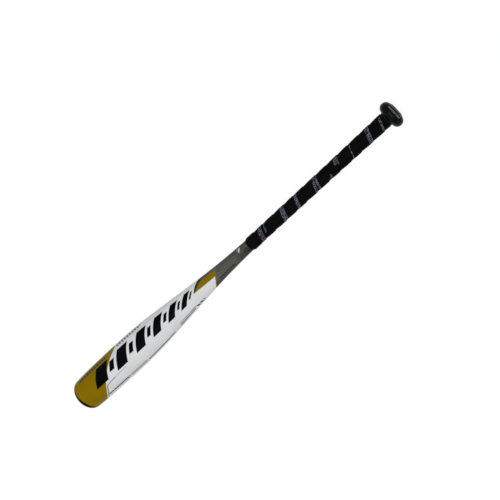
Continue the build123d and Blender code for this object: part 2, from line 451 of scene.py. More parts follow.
@dataclass
class Tube:
    """The drawn aluminium tube: knob end, handle, taper and barrel, all one line."""

    length: float = CAD_BOX[1].x
    start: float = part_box("barrel_shell")[0].x
    cap_plane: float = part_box("barrel_shell")[1].x
    barrel_radius: float = 33.35 * MM
    end_radius: float = 31.9 * MM
    handle_radius: float = 10.6 * MM
    neck_radius: float = 11.5 * MM
    neck_length: float = 16 * MM
    flare_length: float = 125 * MM
    end_slope_at: float = 50 * MM
    taper_starts_at: float = 180 * MM
    taper_ends_at: float = 407.5 * MM
    end_round: float = 14 * MM
    bend_radii: tuple[float, ...] = (0.4, 1.5, 1.55, 1.1, 1.15)
    wall_at_handle: float = 2.6 * MM
    wall_at_barrel: float = 2.0 * MM
    seat_wall: float = 1.5 * MM
    skirt_length: float = 17 * MM

    def __post_init__(self) -> None:
        """Works out the line's corners and bends."""
        drop = (self.barrel_radius - self.end_radius) / (self.end_slope_at - self.end_round)
        neck_end = self.start + self.neck_length
        self.corners = [
            (self.start, self.neck_radius),
            (neck_end, self.neck_radius),
            (neck_end + self.flare_length, self.handle_radius),
            (self.length - self.taper_ends_at, self.handle_radius),
            (self.length - self.taper_starts_at, self.barrel_radius),
            (self.length - self.end_slope_at, self.barrel_radius),
            (self.length, self.barrel_radius - drop * self.end_slope_at),
        ]
        runs = list(zip(self.corners, self.corners[1:]))
        slopes = [(r1 - r0) / (x1 - x0) for (x0, r0), (x1, r1) in runs]
        self.bends = [
            Bend(corner[0], before, after, radius)
            for corner, before, after, radius in zip(self.corners[1:], slopes, slopes[1:], self.bend_radii)
        ]
        lean = math.atan(drop)
        self.round_centre = (
            self.length - self.end_round,
            self.end_radius - self.end_round / math.cos(lean),
        )
        self.round_start = self.round_centre[0] + self.end_round * math.sin(lean)

    def radius(self, x: float) -> float:
        """The bare tube's radius at x, without the rounded end."""
        height = self.corners[0][1]
        for (x0, r0), (x1, r1) in zip(self.corners, self.corners[1:]):
            height += (min(max(x, x0), x1) - x0) * (r1 - r0) / (x1 - x0)
        return height + sum(bend.rise(x) for bend in self.bends)

    def radius_term(self, x: Term) -> Term:
        """The tube's radius under the grip, at a place given in a node tree."""
        bend = self.bends[2]
        past = (x - (bend.corner - bend.reach)).greater(0.0)
        return past * past / (2 * bend.radius) + x.along(self.corners[:4])

    def outer_line(self, start: float, finish: float, step: float = 4 * MM) -> list[Point]:
        """Points along the outer surface."""
        count = max(round((finish - start) / step), 1)
        places = (start + (finish - start) * k / count for k in range(count + 1))
        return [(x, self.radius(x)) for x in places]

    def end_arc(self, start: float, finish: float, steps: int) -> list[Point]:
        """Points on the rounded end between two places along the bat."""
        first, last = (
            math.degrees(math.acos(min((x - self.round_centre[0]) / self.end_round, 1.0)))
            for x in (start, finish)
        )
        return arc(self.round_centre, self.end_round, first, last, steps)

    def outline(self) -> list[Point]:
        """Section of the shell: outside, the cap's seat and the bore."""
        seat = self.end_arc(self.cap_plane, self.cap_plane, 1)[0][1] - self.seat_wall
        seat_end = self.cap_plane - self.skirt_length
        outside = self.outer_line(self.start, self.round_start)
        bore = [
            (x, r - (self.wall_at_handle if x < self.corners[3][0] + 1e-6 else self.wall_at_barrel))
            for x, r in self.corners[:6]
        ]
        return [
            *outside,
            *self.end_arc(self.round_start, self.cap_plane, 6)[1:],
            (self.cap_plane, seat),
            (seat_end, seat),
            *reversed(bore),
        ]


@dataclass
class EndCap:
    """The moulded cap that closes the barrel, with a dish, a boss, and a ring rib round its skirt."""

    tube: Tube
    inner_end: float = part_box("end_cap")[0].x
    skirt_wall: float = 3 * MM
    bond: float = 0.3 * MM
    face: float = 7 * MM
    dish_depth: float = 3 * MM
    dish_radius: float = 17 * MM
    boss_radius: float = 6 * MM
    edge: float = 0.5 * MM
    rib_at: float = 12 * MM
    rib_width: float = 2.4 * MM
    rib_height: float = 0.6 * MM

    def outline(self) -> list[Point]:
        """Section of the cap, from the middle of its face round to the middle of its back."""
        tube, edge = self.tube, self.edge
        end, plane = tube.length, tube.cap_plane
        skirt = tube.end_arc(plane, plane, 1)[0][1] - tube.seat_wall - self.bond
        floor = end - self.dish_depth
        rib = plane - self.rib_at
        half, crest = self.rib_width / 2, skirt + self.rib_height
        return [
            (end, 0.0),
            *arc((end - edge, self.boss_radius - edge), edge, 0, 90, 5),
            *arc((floor + edge, self.boss_radius + edge), edge, 270, 180, 5),
            *arc((floor + edge, self.dish_radius - edge), edge, 180, 90, 5),
            *arc((end - edge, self.dish_radius + edge), edge, 270, 360, 5),
            *tube.end_arc(end, plane, 24),
            (plane, skirt),
            (rib + half, skirt),
            (rib + half, crest),
            (rib - half, crest),
            (rib - half, skirt),
            (self.inner_end, skirt),
            (self.inner_end, skirt - self.skirt_wall),
            (end - self.face, skirt - self.skirt_wall),
            (end - self.face, 0.0),
        ]


@dataclass
class Knob:
    """The turned knob: flat middle, crowned end, round rim, and a recess for its badge."""

    front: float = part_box("knob")[1].x
    radius: float = 23.4 * MM
    rim_radius: float = 9.7 * MM
    face_radius: float = 10 * MM
    crown: float = 20.0
    end_wall: float = 8 * MM
    bore: float = 11.6 * MM
    vent: float = 4.5 * MM
    head: float = 6.5 * MM
    badge_recess: float = 8.65 * MM
    badge_depth: float = 0.8 * MM
    head_depth: float = 1.5 * MM
    face_edge: float = 0.6 * MM

    @property
    def rim_centre(self) -> Point:
        """Centre of the rim's circle."""
        return self.front - self.rim_radius, self.radius - self.rim_radius

    def outline(self) -> list[Point]:
        """Section of the knob, from the vent hole over the face and the rim to the bore."""
        rim = arc(self.rim_centre, self.rim_radius, 180 - self.crown, 0, 40)
        recess = self.badge_depth + self.head_depth
        soft = self.face_edge
        return [
            (self.end_wall, self.vent),
            (recess, self.vent),
            (recess, self.head),
            (self.badge_depth, self.head),
            (self.badge_depth, self.badge_recess),
            (0.15 * MM, self.badge_recess),
            (0.0, self.badge_recess + 0.15 * MM),
            (0.0, self.face_radius - soft),
            (0.03 * MM, self.face_radius),
            (0.16 * MM, self.face_radius + soft),
            *rim,
            (self.front, self.bore),
            (self.end_wall, self.bore),
        ]


@dataclass
class Weld(WoundSurface):
    """The weld bead between knob and handle, with its ripples."""

    tube: Tube
    knob: Knob
    leg: float = 2 * MM
    ripple: float = 0.09 * MM
    ripples: float = 84.0

    name = "weld_bead"
    columns = 673
    rows = 13
    shading = Shading.SOFT

    def sizes(self) -> dict[str, float]:
        """The tree's named inputs and their values."""
        return {
            "Start": self.knob.front,
            "Tube Radius": self.tube.neck_radius,
            "Leg": self.leg,
            "Ripple": self.ripple,
            "Ripples": self.ripples,
        }

    def place(self, given: dict[str, Term], a: Term, b: Term) -> tuple[tuple, tuple]:
        """A hollow fillet whose face rises and falls round the bat."""
        turn = a * TAU
        corner = b.ramp(0.0, 0.75)
        wave = (a * given["Ripples"] + corner * 0.6).fraction()
        crest = (wave * (1.0 - wave) * 4.0 - 0.5) * given["Ripple"]
        swing = corner * (math.pi / 2)
        sine, cosine = swing.worked("SINE"), swing.worked("COSINE")
        on_face = 1.0 - b.over(0.751)
        bulge = (0.72 + 0.28 * (corner * 2.0 - 1.0).size()) * given["Leg"] + crest * (sine * cosine * 2.0)
        back = b.ramp(0.75, 1.0)
        x = given["Start"] + on_face * (bulge * sine) + (1.0 - on_face) * (given["Leg"] * (1.0 - back))
        r = given["Tube Radius"] + on_face * (bulge * cosine)
        return (x, r * turn.worked("SINE"), r * turn.worked("COSINE")), (a, b, 0.0)


HAND_WINDING = (
    (-1.0, 0.0),
    (1.2, 1.2),
    (3.2, 1.0),
    (4.4, -1.8),
    (5.4, 0.2),
    (6.4, -2.0),
    (7.1, 2.2),
    (8.5, 3.0),
    (9.5, -0.4),
    (11.3, 3.4),
    (12.5, -0.4),
    (14.0, 0.0),
)


@dataclass
class Winding(WoundSurface):
    """The grip tape: one cushioned strip wound from the knob up, each turn lapping the one before."""

    tube: Tube
    start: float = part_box("grip_tape")[0].x
    end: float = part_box("grip_tape")[1].x
    pitch: float = 24.127 * MM
    phase: float = 0.5
    bed: float = 0.33 * MM
    thickness: float = 1.47 * MM
    step: float = 0.75 * MM
    slope: float = 15 * MM
    seam: float = 0.3 * MM
    shoulder: float = 1.1 * MM
    wander: float = 1.0 * MM
    outer_rows: int = 26

    name = "grip_winding"
    columns = 1401
    rows = 33
    shading = Shading.SOFT

    def sizes(self) -> dict[str, float]:
        """The tree's named inputs and their values."""
        turns = (self.end - self.start) / self.pitch
        return {
            "Start": self.start,
            "End": self.end,
            "Pitch": self.pitch,
            "Turns": turns + 1.0,
            "First Turn": self.phase - 1.0,
            "Phase": self.phase,
            "Bed": self.bed,
            "Thickness": self.thickness,
            "Step": self.step,
            "Slope": self.slope,
            "Seam": self.seam,
            "Shoulder": self.shoulder,
            "Wander": self.wander,
        }

    def seam_place(self, given: dict[str, Term], turn: Term) -> Term:
        """Where the seam runs after that many turns, with the unevenness of a hand winding."""
        uneven = turn.along(HAND_WINDING) * given["Wander"]
        return given["Start"] + (turn - given["Phase"]) * given["Pitch"] + uneven

    def place(self, given: dict[str, Term], a: Term, b: Term) -> tuple[tuple, tuple]:
        """A strip between two neighbouring seams, cut square at both ends of the grip."""
        turn = given["First Turn"] + a * given["Turns"]
        half_seam = given["Seam"] * 0.5
        low = (self.seam_place(given, turn) + half_seam).greater(given["Start"])
        high = (self.seam_place(given, turn + 1.0) - half_seam).lesser(given["End"])
        width = (high - low).greater(0.0)
        one_row = 1.0 / (self.rows - 1)
        split = self.outer_rows * one_row
        over = (b * (1.0 / split)).lesser(1.0)
        under = b.ramp(split + one_row, 1.0 - one_row)
        beneath = b.over(split + 1e-4) * (1.0 - b.over(1.0 - 1e-4))
        again = b.over(1.0 - 1e-4)
        top = (0.5 - 0.5 * (over * math.pi).worked("COSINE")) * (1.0 - again)
        share = beneath * (1.0 - under) + (1.0 - beneath) * top
        from_low = share * width
        from_high = width - from_low
        sunk = (1.0 - from_high / given["Slope"]).greater(0.0)
        sunk = sunk * sunk * (3.0 - 2.0 * sunk)
        edge_low = 1.0 - (from_low / given["Shoulder"]).lesser(1.0)
        edge_high = 1.0 - (from_high / given["Shoulder"]).lesser(1.0)
        rounded = edge_low * edge_low * 0.34 + edge_high * edge_high * edge_high * 0.2
        crown = (from_low / given["Pitch"]).lesser(1.0)
        crown = crown * (1.0 - crown) * 0.10
        tip = (width / (4 * MM)).lesser(1.0).greater(0.0)
        height = (given["Thickness"] * (1.0 - rounded - crown) - sunk * given["Step"]) * tip
        x = low + from_low
        r = self.tube.radius_term(x) + given["Bed"] + height * (1.0 - beneath)
        angle = turn * TAU
        point = (x, r * angle.worked("COSINE"), -1.0 * (r * angle.worked("SINE")))
        return point, (turn, from_low, height * (1.0 - beneath))


@dataclass
class FinishingTape(WoundSurface):
    """The thin stretched tape that holds the grip's upper end down to the handle."""

    tube: Tube
    start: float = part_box("grip_finishing_tape")[0].x
    end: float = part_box("grip_finishing_tape")[1].x
    grip_end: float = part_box("grip_tape")[1].x
    over_grip: float = 1.8 * MM
    thickness: float = 0.35 * MM
    layer: float = 0.05 * MM
    crease: float = 0.07 * MM
    laps: float = 3.0

    name = "finishing_wrap"
    columns = 385
    rows = 45
    shading = Shading.SOFT

    def sizes(self) -> dict[str, float]:
        """The tree's named inputs and their values."""
        return {
            "Start": self.start,
            "End": self.end,
            "Grip End": self.grip_end,
            "Over Grip": self.over_grip,
            "Thickness": self.thickness,
            "Layer": self.layer,
            "Crease": self.crease,
        }

    def place(self, given: dict[str, Term], a: Term, b: Term) -> tuple[tuple, tuple]:
        """A band drawn down from the grip to the bare handle, with laps and small creases."""
        tree = a.tree
        turn = a * TAU
        inner = b.over(0.5)
        there = b.ramp(0.0, 0.5)
        back = b.ramp(0.5, 1.0)
        share = there * (1.0 - inner) + (1.0 - back) * inner
        x = given["Start"] + share * (given["End"] - given["Start"])
        past = ((x - given["Grip End"]) / (given["End"] - given["Grip End"])).greater(0.0)
        fall = past * past * (3.0 - 2.0 * past)
        step_down = (past * 24.0).lesser(1.0)
        noise = tree.nodes.new("ShaderNodeTexNoise")
        across, around = turn.worked("SINE"), turn.worked("COSINE")
        feed(noise.inputs["Vector"], vector(tree, x * 190.0, across * 1.4, around * 1.4))
        noise.inputs["Detail"].default_value = 1.0
        crease = (Term(noise.outputs[0]) - 0.5) * 2.0 * given["Crease"]
        lap = (share * self.laps + a).fraction().ramp(0.0, 0.06) * given["Layer"]
        rim = (share * 40.0).lesser(1.0).lesser((1.0 - share) * 40.0)
        outer = (
            self.tube.radius_term(x)
            + given["Over Grip"] * (1.0 - fall)
            + (given["Thickness"] - given["Layer"]) * (0.35 + 0.65 * rim)
            + lap * rim
            + (crease - given["Crease"]) * rim
        )
        lining = self.tube.radius_term(x) + 0.01 * MM + given["Over Grip"] * (1.0 - step_down)
        r = (1.0 - inner) * outer.greater(lining + 0.02 * MM) + inner * lining
        return (x, r * across, r * around), (a, share, inner)


@dataclass
class Label:
    """The small round label on the bare handle."""

    tube: Tube
    lift: float = 0.03 * MM
    thickness: float = 0.12 * MM
    steps: int = 72
    rings: int = 10

    def mesh(self) -> bpy.types.Mesh:
        """A thin disc laid round the handle."""
        low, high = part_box("handle_label")
        middle = (low + high) / 2
        centre_x, radius = middle.x, (high.x - low.x) / 2
        facing = math.atan2(middle.y, middle.z)
        work = bmesh.new()

        def laid(distance: float, turn: float, height: float) -> bmesh.types.BMVert:
            """A point of the label at a distance from its middle."""
            x = centre_x + distance * math.cos(turn)
            r = self.tube.radius(x) + height
            across = math.asin(distance * math.sin(turn) / self.tube.radius(x))
            return work.verts.new((x, r * math.sin(facing + across), r * math.cos(facing + across)))

        def sheet(height: float) -> list[list[bmesh.types.BMVert]]:
            """Rings of the label's upper or lower side."""
            middle_point = laid(0.0, 0.0, height)
            rings = [[middle_point] * self.steps]
            for ring in range(1, self.rings + 1):
                distance = radius * ring / self.rings
                rings.append([laid(distance, TAU * k / self.steps, height) for k in range(self.steps)])
            return rings

        rings = sheet(self.lift) + list(reversed(sheet(self.lift + self.thickness)))
        skin(work, list(zip(rings, rings[1:])))
        mesh = bpy.data.meshes.new("handle_label")
        work.to_mesh(mesh)
        work.free()
        return mesh


# ---------------------------------------------------------------------- finishes
def paint(red: int, green: int, blue: int) -> Colour:
    """A colour mixed on a 0 to 255 scale, as the linear colour that shaders take."""
    shares = (c / 255 for c in (red, green, blue))
    return tuple(c / 12.92 if c <= 0.04045 else ((c + 0.055) / 1.055) ** 2.4 for c in shares)


def blended(factor: Number, under: object, over: object) -> bpy.types.NodeSocket:
    """One colour laid over another in a shader tree.

    Args:
        factor: 1 where the upper colour covers.
        under: Lower colour, as a socket or three numbers.
        over: Upper colour, as a socket or three numbers.

    Returns:
        The resulting colour.
    """
    node = factor.tree.nodes.new("ShaderNodeMix")
    node.data_type = "RGBA"
    feed(node.inputs[0], factor)
    feed(node.inputs[6], under)
    feed(node.inputs[7], over)
    return node.outputs[2]


class Surface:
    """A new procedural material with the nodes that every finish here uses."""

    def __init__(self, name: str, **constants: object) -> None:
        """Starts the material.

        Args:
            name: Its name.
            constants: Plain values of the shader's own sockets, spaces written as underscores.
        """
        self.material = bpy.data.materials.new(name)
        self.material.use_nodes = True
        self.tree = self.material.node_tree
        self.shader = self.tree.nodes["Principled BSDF"]
        for label, value in constants.items():
            feed(self.shader.inputs[label.replace("_", " ")], value)
        self.place = self.tree.nodes.new("ShaderNodeTexCoord").outputs["Object"]

    def noise(self, scale: float, detail: float = 3.0, stretch: Colour = (1.0, 1.0, 1.0)) -> Term:
        """Soft unevenness from 0 to 1 that is fixed to the piece."""
        node = self.tree.nodes.new("ShaderNodeTexNoise")
        x, y, z = parts_of(self.place)
        feed(node.inputs["Vector"], vector(self.tree, x * stretch[0], y * stretch[1], z * stretch[2]))
        node.inputs["Scale"].default_value = scale
        node.inputs["Detail"].default_value = detail
        return Term(node.outputs[0])

    def cells(self, scale: float, place: object = None) -> Term:
        """Distance to the nearest of many scattered points, for grain and pores."""
        node = self.tree.nodes.new("ShaderNodeTexVoronoi")
        feed(node.inputs["Vector"], place or self.place)
        node.inputs["Scale"].default_value = scale
        return Term(node.outputs["Distance"])

    def colour(self, socket: object) -> None:
        """Sets or links the base colour."""
        feed(self.shader.inputs["Base Color"], socket)

    def roughness(self, value: Number) -> None:
        """Sets or links the roughness."""
        feed(self.shader.inputs["Roughness"], value)

    def relief(self, height: Term, distance: float, strength: float = 1.0) -> None:
        """Adds fine relief.

        Args:
            height: The relief, from 0 to 1.
            distance: Its real depth.
            strength: How much of it counts.
        """
        bump = self.tree.nodes.new("ShaderNodeBump")
        bump.inputs["Strength"].default_value = strength
        bump.inputs["Distance"].default_value = distance
        feed(bump.inputs["Height"], height)
        feed(self.shader.inputs["Normal"], bump.outputs[0])


class Ink(Enum):
    """The colours of the printed design."""

    WHITE = paint(220, 223, 223)
    GOLD = paint(136, 109, 0)
    BLACK = paint(3, 4, 5)
    GREY = paint(96, 98, 93)
    DARK_GREY = paint(48, 49, 47)
    PALE_GREY = paint(150, 150, 142)
    RED = paint(130, 52, 46)


@dataclass(frozen=True)
class Patch:
    """A straight-sided printed shape. Its corners are (millimetres along the bat, degrees round it)."""

    ink: Ink
    corners: tuple[Point, ...]
    strength: float = 1.0


@dataclass(frozen=True)
class Stripe:
    """A thin printed line between two points, solid or cut into slanted dashes."""

    ink: Ink
    start: Point
    finish: Point
    width: float
    dash: float = 0.0
    share: float = 1.0
    strength: float = 1.0


MM_PER_DEGREE = 33.35 * math.radians(1)
EDGE = 0.16

GOLD_END_EDGE = (
    (-180.0, 701.0),
    (-120.0, 668.0),
    (-66.0, 656.0),
    (-53.0, 661.7),
    (13.0, 709.6),
    (70.0, 743.5),
    (112.0, 752.0),
    (150.0, 728.0),
    (180.0, 701.0),
)
# Start of the black band painted at the shell's end next to the cap, in degrees round the bat and
# millimetres along it; the band reaches further along the bat on one side.
BLACK_END_BAND_EDGE = (
    (-180.0, 778.0),
    (-50.0, 778.4),
    (-10.0, 776.5),
    (25.0, 773.6),
    (60.0, 772.8),
    (90.0, 775.0),
    (130.0, 777.6),
    (180.0, 778.0),
)
GREY_TAPER_EDGE = (
    (-180.0, 446.0),
    (-120.0, 436.0),
    (-75.0, 443.5),
    (-10.0, 462.0),
    (-1.4, 413.0),
    (75.0, 430.0),
    (125.0, 441.0),
    (180.0, 446.0),
)


def speed_bars() -> list[Patch]:
    """A row of bold slanted bars along the barrel, which grow thinner towards the handle."""
    top, bottom, lean = -45.0, 11.0, 22.0
    bars = []
    place = 733.0
    for width, gap, cut in (
        (33, 7, 0),
        (13, 7, 14),
        (28, 7, 0),
        (11, 7, 14),
        (24, 6, 0),
        (9, 6, 14),
        (20, 6, 0),
        (8, 5, 14),
        (17, 5, 0),
        (6, 5, 14),
        (14, 4, 0),
        (5, 4, 14),
    ):
        slip = lean * cut / (bottom - top)
        bars.append(
            Patch(
                Ink.BLACK,
                (
                    (place - lean + slip, top + cut),
                    (place - lean + slip - width, top + cut),
                    (place - width - slip, bottom - cut),
                    (place - slip, bottom - cut),
                ),
            )
        )
        place -= width + gap
    return bars


PATCHES = (
    Patch(Ink.GOLD, ((462.0, -10.0), (444.0, -45.0), (405.0, -45.0), (413.0, -1.4))),
    Patch(Ink.DARK_GREY, ((465.0, -10.0), (462.0, -10.0), (444.0, -45.0), (436.0, -75.0), (445.0, -75.0))),
)
STRIPES = (
    Stripe(Ink.GOLD, (413.0, -1.4), (431.0, 80.0), 2.2),
    Stripe(Ink.DARK_GREY, (738.2, 67.0), (711.9, 23.0), 1.5),
    Stripe(Ink.DARK_GREY, (711.9, 23.0), (686.5, 19.5), 1.2),
    Stripe(Ink.PALE_GREY, (686.5, 19.5), (655.0, 17.5), 0.9),
    Stripe(Ink.BLACK, (729.0, 56.5), (670.0, 58.0), 4.2, 7.0, 0.86),
    Stripe(Ink.GOLD, (667.0, 59.0), (623.0, 60.5), 6.0, 5.2, 0.72, 0.8),
    Stripe(Ink.DARK_GREY, (620.0, 64.5), (544.0, 65.5), 3.6),
    Stripe(Ink.DARK_GREY, (523.0, 50.5), (497.0, 49.5), 3.0, 3.2, 0.6),
    Stripe(Ink.RED, (496.0, 49.5), (479.0, 48.5), 4.0, 3.2, 0.7),
    Stripe(Ink.BLACK, (527.0, 62.5), (484.0, 60.0), 3.6),
    Stripe(Ink.BLACK, (478.0, 58.0), (458.0, 60.0), 9.0, 9.0, 0.62),
    Stripe(Ink.DARK_GREY, (762.0, -58.0), (684.0, -58.5), 8.0, 7.4, 0.74, 0.85),
    Stripe(Ink.GREY, (652.0, -64.0), (587.0, -66.0), 9.0, 7.0, 0.7, 0.85),
    Stripe(Ink.DARK_GREY, (411.0, 31.5), (373.0, 32.5), 7.5, 6.5, 0.72),
)


@dataclass(frozen=True)
class ShellPaint:
    """Gloss paint on the shell: gold end, white barrel with a dark design, and a grey taper."""

    gloss: float = 0.3
    shine: float = 0.02

    @staticmethod
    def patch(p: Term, q: Term, corners: Sequence[Point]) -> Term:
        """How far inside a straight-sided shape a point is, in millimetres."""
        flat = [(x, turn * MM_PER_DEGREE) for x, turn in corners]
        middle = Vector((sum(x for x, _ in flat) / len(flat), sum(y for _, y in flat) / len(flat)))
        margins = []
        for (x0, y0), (x1, y1) in zip(flat, flat[1:] + flat[:1]):
            run = Vector((x1 - x0, y1 - y0)).normalized()
            inward = Vector((-run.y, run.x))
            if inward.dot(middle - Vector((x0, y0))) < 0:
                inward.negate()
            far = -(inward.x * x0 + inward.y * y0)
            margins.append(q.times_plus(inward.y, p.times_plus(inward.x, far)))
        return least(margins)

    @staticmethod
    def stripe(p: Term, q: Term, line: Stripe) -> Term:
        """How far inside a printed line a point is, in millimetres."""
        start = Vector((line.start[0], line.start[1] * MM_PER_DEGREE))
        finish = Vector((line.finish[0], line.finish[1] * MM_PER_DEGREE))
        run = (finish - start).normalized()
        far = -run.dot(start)
        forward = q.times_plus(run.y, p.times_plus(run.x, far))
        off = -(run.x * start.y - run.y * start.x)
        aside = q.times_plus(run.x, p.times_plus(-run.y, off))
        ends = forward.lesser((finish - start).length - forward)
        margin = (line.width / 2 - aside.size()).lesser(ends)
        if line.dash:
            beat = ((forward + aside * 0.5) / line.dash).fraction()
            margin = margin.lesser(beat.lesser(line.share - beat) * line.dash)
        return margin

    def make(self) -> bpy.types.Material:
        """Builds the material."""
        surface = Surface("shell_paint", Specular_IOR_Level=self.shine)
        x, y, z = parts_of(surface.place)
        p = x * 1000.0
        turn = y.worked("ARCTAN2", z) * math.degrees(1)
        q = turn * MM_PER_DEGREE
        cloud = surface.noise(38.0, 2.0)
        fleck = surface.noise(2600.0, 1.0)
        streaks = surface.noise(22.0, 5.0, (0.5, 4.0, 4.0))
        grip_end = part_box("grip_finishing_tape")[1].x / MM
        white = blended(cloud.ramp(0.35, 0.65), paint(216, 218, 218), Ink.WHITE.value)
        gold = blended(cloud.ramp(0.3, 0.7), paint(130, 104, 0), Ink.GOLD.value)
        gold = blended(fleck.ramp(0.55, 0.75) * 0.2, gold, paint(156, 126, 20))
        grey = blended(streaks.ramp(0.35, 0.7), paint(72, 73, 68), paint(110, 111, 104))
        near_grip = p.ramp(grip_end + 4.0, grip_end + 34.0, 1.0, 0.0)
        dark = (near_grip * 0.7 + 0.3) * streaks.ramp(0.4, 0.54) * 0.9
        grey = blended(dark, grey, paint(40, 41, 30))
        spots = surface.noise(95.0, 3.0, (1.0, 1.6, 1.6)).ramp(0.5, 0.6) * near_grip * 0.75
        grey = blended(spots, grey, paint(24, 24, 18))
        taper_edge = turn.along(GREY_TAPER_EDGE) - p
        base = blended(taper_edge.ramp(-EDGE, EDGE), white, grey)
        end_edge = p - turn.along(GOLD_END_EDGE)
        base = blended(end_edge.ramp(-EDGE, EDGE), base, gold)
        bars = most([self.patch(p, q, bar.corners) for bar in speed_bars()])
        base = blended(bars.ramp(-EDGE, EDGE), base, Ink.BLACK.value)
        for shape in PATCHES:
            inked = gold if shape.ink is Ink.GOLD else shape.ink.value
            cover = self.patch(p, q, shape.corners).ramp(-EDGE, EDGE) * shape.strength
            base = blended(cover, base, inked)
        for line in STRIPES:
            inked = gold if line.ink is Ink.GOLD else line.ink.value
            base = blended(self.stripe(p, q, line).ramp(-EDGE, EDGE) * line.strength, base, inked)
        # Black band painted at the shell's end next to the cap, wider on one side.
        black_end_band = p - turn.along(BLACK_END_BAND_EDGE)
        base = blended(black_end_band.ramp(-EDGE, EDGE), base, Ink.BLACK.value)
        surface.colour(base)
        surface.roughness(fleck.ramp(0.3, 0.7, self.gloss - 0.03, self.gloss + 0.05))
        surface.relief(surface.noise(900.0, 2.0), 0.02 * MM, 0.25)
        return surface.material


@dataclass(frozen=True)
class CapPlastic:
    """Satin moulded plastic of the end cap."""

    shade: Colour = paint(11, 11, 12)

    def make(self) -> bpy.types.Material:
        """Builds the material."""
        surface = Surface("cap_plastic", Specular_IOR_Level=0.05)
        grain = surface.cells(1500.0)
        cloud = surface.noise(60.0)
        surface.colour(blended(cloud.ramp(0.3, 0.7), self.shade, paint(17, 17, 18)))
        surface.roughness(cloud.ramp(0.3, 0.7, 0.36, 0.5))
        surface.relief(grain, 0.04 * MM, 0.4)
        return surface.material


@dataclass(frozen=True)
class KnobPaint:
    """Gloss black paint of the knob, with a short row of pale dashes on its crown: partly printed marks,
    partly a painted highlight for the rim's light streaks.
    """

    shade: Colour = paint(7, 8, 9)
    dashes_at: float = 6.5
    dashes_half_width: float = 1.25
    dashes_to: float = 36.0

    def make(self) -> bpy.types.Material:
        """Builds the material."""
        surface = Surface("knob_paint", Specular_IOR_Level=0.05)
        x, y, z = parts_of(surface.place)
        turn = y.worked("ARCTAN2", z) * math.degrees(1)
        band = self.dashes_half_width - (x * 1000.0 - self.dashes_at).size()
        beat = ((turn + 180.0) / 6.0 + x * 90.0).fraction()
        print_and_highlight_edge = least([band, (self.dashes_to - turn.size()) * 0.3, (0.31 - (beat - 0.36).size()) * 2.4])
        wear = surface.noise(420.0, 4.0)
        # Pale dashes: partly print, partly a painted highlight in place of the rim's light streaks.
        base = blended(print_and_highlight_edge.ramp(-0.1, 0.1) * wear.ramp(0.36, 0.5), self.shade, paint(132, 134, 136))
        surface.colour(base)
        surface.roughness(wear.ramp(0.3, 0.7, 0.16, 0.3))
        surface.relief(surface.noise(500.0, 2.0), 0.03 * MM, 0.3)
        return surface.material


@dataclass(frozen=True)
class Band:
    """A printed band along one edge of the tape, between two places of the winding."""

    turn_from: float
    turn_to: float
    low: float
    high: float
    accent: float = -1.0


BANDS = (
    Band(11.45, 12.02, 0.3, 8.0, 11.78),
    Band(10.50, 10.79, 16.6, 19.8),
    Band(9.45, 10.02, 0.3, 5.6),
    Band(8.45, 9.02, 19.5, 23.0),
    Band(7.45, 8.02, 13.6, 19.1),
    Band(6.45, 7.02, 0.3, 4.4, 6.64),
    Band(5.45, 6.02, 19.6, 23.0, 5.63),
    Band(4.81, 5.04, 17.4, 20.4),
    Band(4.45, 4.735, 0.3, 6.4),
    Band(3.45, 3.765, 20.8, 23.2),
    Band(2.45, 3.02, 16.4, 18.0),
    Band(1.45, 2.02, 0.3, 7.6),
    Band(0.62, 0.9, 0.3, 3.8),
    Band(-0.36, -0.1, 16.4, 22.6),
)


@dataclass(frozen=True)
class GripLeather:
    """Cushioned black synthetic leather with fine grain, pinholes and pale printed bands."""

    shade: Colour = paint(4, 4, 5)
    print_shade: Colour = paint(118, 118, 136)
    accent: Colour = paint(104, 74, 56)
    round_length: float = 78.0

    def make(self) -> bpy.types.Material:
        """Builds the material."""
        surface = Surface("grip_leather", Specular_IOR_Level=0.02)
        lay = surface.tree.nodes.new("ShaderNodeAttribute")
        lay.attribute_name = "lay"
        turn, across, _ = parts_of(lay.outputs["Vector"])
        across = across * 1000.0
        along = turn * self.round_length
        on_tape = vector(surface.tree, along, across, 0.0)
        pale, orange = [], []
        for band in BANDS:
            ends = least([turn - band.turn_from, band.turn_to - turn]) * self.round_length
            sides = least([across - band.low, band.high - across])
            pale.append(ends.lesser(sides))
            if band.accent > 0:
                orange.append(2.2 - (turn - band.accent).size() * self.round_length)
        inside = most(pale)
        rows = ((across - 0.6) / 2.75).fraction()
        beats = ((along + across * 0.4) / 3.3).fraction()
        blocks = least([rows - 0.14, 0.9 - rows, (beats - 0.12) * 1.2, (0.84 - beats) * 1.2]) * 2.7
        rims = 0.35 - (inside - 0.35).size()
        broken = surface.noise(330.0, 3.0)
        ink = most([blocks.lesser(inside - 0.9), rims]).ramp(-0.12, 0.12) * broken.ramp(0.4, 0.55, 0.12, 1.0)
        mottled = surface.noise(120.0)
        base = blended(mottled.ramp(0.3, 0.7), self.shade, paint(9, 9, 10))
        printed = blended(most(orange).lesser(inside).ramp(-0.2, 0.2), self.print_shade, self.accent)
        surface.colour(blended(ink * inside.ramp(-0.1, 0.1), base, printed))
        surface.roughness(mottled.ramp(0.3, 0.7, 0.5, 0.68))
        grain = surface.cells(900.0).ramp(0.0, 0.6)
        holes = surface.cells(0.42, on_tape).ramp(0.06, 0.14)
        surface.relief(grain * 0.35 + holes * 0.65, 0.16 * MM, 0.6)
        return surface.material


